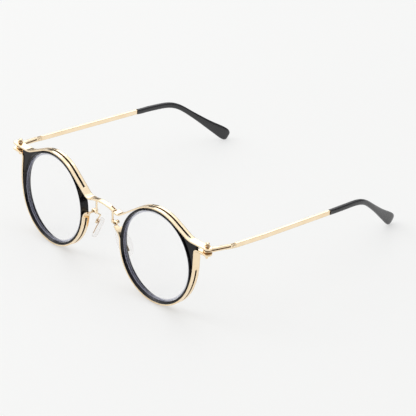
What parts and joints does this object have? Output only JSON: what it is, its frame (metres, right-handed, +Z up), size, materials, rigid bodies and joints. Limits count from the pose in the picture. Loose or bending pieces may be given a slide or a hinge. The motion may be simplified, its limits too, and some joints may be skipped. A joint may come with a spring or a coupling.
{
  "type": "round eyeglasses",
  "caption": "Round full-rim eyeglasses: slim metal strip front around black inner rims, arched bridge, clear nose pads and folding temples with black ear tips.",
  "frame": {"origin": "centre of the bounding box footprint, on the surface the glasses rest on", "axes": "+X to the wearer's left, -Y the way the lenses face, +Z up; temples open"},
  "size_m": [0.138, 0.1353, 0.047],
  "materials": {
    "polished_gold": "polished pale gold plate",
    "screw_metal": "polished",
    "black_acetate": "glossy black acetate",
    "clear_lens": "clear, anti-reflection coated",
    "clear_silicone": "clear soft silicone"
  },
  "bodies": {
    "front": {"bridge": "polished_gold", "left_inner_rim": "black_acetate", "left_lens": "clear_lens", "left_upper_strip": "polished_gold", "left_lower_strip": "polished_gold", "left_hinge_pin": "polished_gold", "left_hinge_nut": "polished_gold", "left_pad_post": "polished_gold", "left_pad_screw": "screw_metal", "left_pad_nut": "screw_metal", "left_pad_arm": "polished_gold", "left_pad_pin": "screw_metal", "right_inner_rim": "black_acetate", "right_lens": "clear_lens", "right_upper_strip": "polished_gold", "right_lower_strip": "polished_gold", "right_hinge_pin": "polished_gold", "right_hinge_nut": "polished_gold", "right_pad_post": "polished_gold", "right_pad_screw": "screw_metal", "right_pad_nut": "screw_metal", "right_pad_arm": "polished_gold", "right_pad_pin": "screw_metal"},
    "left_temple": {"left_temple_fork": "polished_gold", "left_temple_bar": "polished_gold", "left_temple_rivet": "polished_gold", "left_temple_tip": "black_acetate"},
    "right_temple": {"right_temple_fork": "polished_gold", "right_temple_bar": "polished_gold", "right_temple_rivet": "polished_gold", "right_temple_tip": "black_acetate"},
    "left_pad": {"left_nose_pad": "clear_silicone", "left_pad_plate": "polished_gold"},
    "right_pad": {"right_nose_pad": "clear_silicone", "right_pad_plate": "polished_gold"}
  },
  "joints": [
    {"name": "left_temple_fold", "type": "hinge", "parent": "front", "child": "left_temple", "pos_m": [0.06558, -0.06028, 0.03782], "axis": [-0.0035, 0.0766, 0.9971], "range_deg": [0, 86]},
    {"name": "right_temple_fold", "type": "hinge", "parent": "front", "child": "right_temple", "pos_m": [-0.06558, -0.06028, 0.03782], "axis": [0.0035, 0.0766, 0.9971], "range_deg": [-80, 0]},
    {"name": "left_pad_rock", "type": "hinge", "parent": "front", "child": "left_pad", "pos_m": [0.00846, -0.0616, 0.02144], "axis": [-0.4693, -0.8165, -0.3363], "range_deg": [-8, 8]},
    {"name": "right_pad_rock", "type": "hinge", "parent": "front", "child": "right_pad", "pos_m": [-0.00846, -0.0616, 0.02144], "axis": [0.4693, -0.8165, -0.3363], "range_deg": [-8, 8]}
  ]
}
